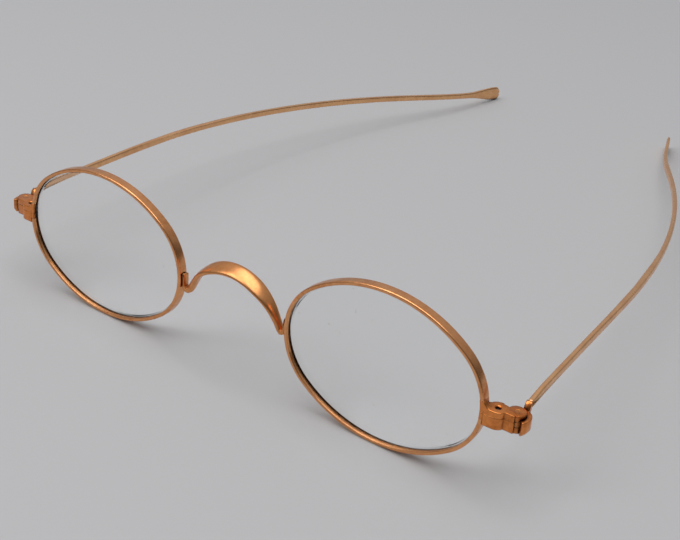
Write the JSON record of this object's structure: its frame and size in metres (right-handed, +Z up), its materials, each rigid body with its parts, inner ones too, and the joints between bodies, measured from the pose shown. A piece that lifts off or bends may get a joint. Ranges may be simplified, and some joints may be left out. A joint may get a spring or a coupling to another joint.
{
  "type": "eyeglasses",
  "caption": "Small oval wire-rim eyeglasses with a saddle bridge, glass lenses and straight, slightly bowed folding temples with flattened tips.",
  "frame": {"origin": "middle of the footprint at the level of the table, with the eyeglasses standing open on rims and temple tips", "axes": "+X to the right as seen from the front, which is the wearer's left; +Y back along the temples; +Z up. Right and left in the names are as seen from the front."},
  "size_m": [0.1112, 0.1445, 0.0284],
  "materials": {
    "rim_gold": "satin gold-filled wire",
    "bridge_gold": "satin gold-filled wire, worn smooth",
    "end_gold": "satin gold-filled metal",
    "temple_gold": "satin gold-filled wire",
    "pin_gold": "filed flush",
    "screw_steel": "dull",
    "lens_glass": "clear, polished"
  },
  "bodies": {
    "front": {"rim_right": "rim_gold", "rim_left": "rim_gold", "lens_right": "lens_glass", "lens_left": "lens_glass", "bridge": "bridge_gold", "end_piece_upper_right": "end_gold", "end_piece_upper_left": "end_gold", "end_piece_lower_right": "end_gold", "end_piece_lower_left": "end_gold", "closing_screw_right": "screw_steel", "closing_screw_left": "screw_steel", "hinge_pin_right": "pin_gold", "hinge_pin_left": "pin_gold"},
    "temple_right": {"temple_joint_right": "temple_gold", "temple_right": "temple_gold"},
    "temple_left": {"temple_joint_left": "temple_gold", "temple_left": "temple_gold"}
  },
  "joints": [
    {"name": "temple_right_fold", "type": "hinge", "parent": "front", "child": "temple_right", "pos_m": [0.05326, -0.06875, 0.01408], "axis": [-0.0436, 0.061, 0.9972], "range_deg": [-28, 76]},
    {"name": "temple_left_fold", "type": "hinge", "parent": "front", "child": "temple_left", "pos_m": [-0.05326, -0.06875, 0.01408], "axis": [-0.0087, -0.061, -0.9981], "range_deg": [-28, 76]}
  ]
}
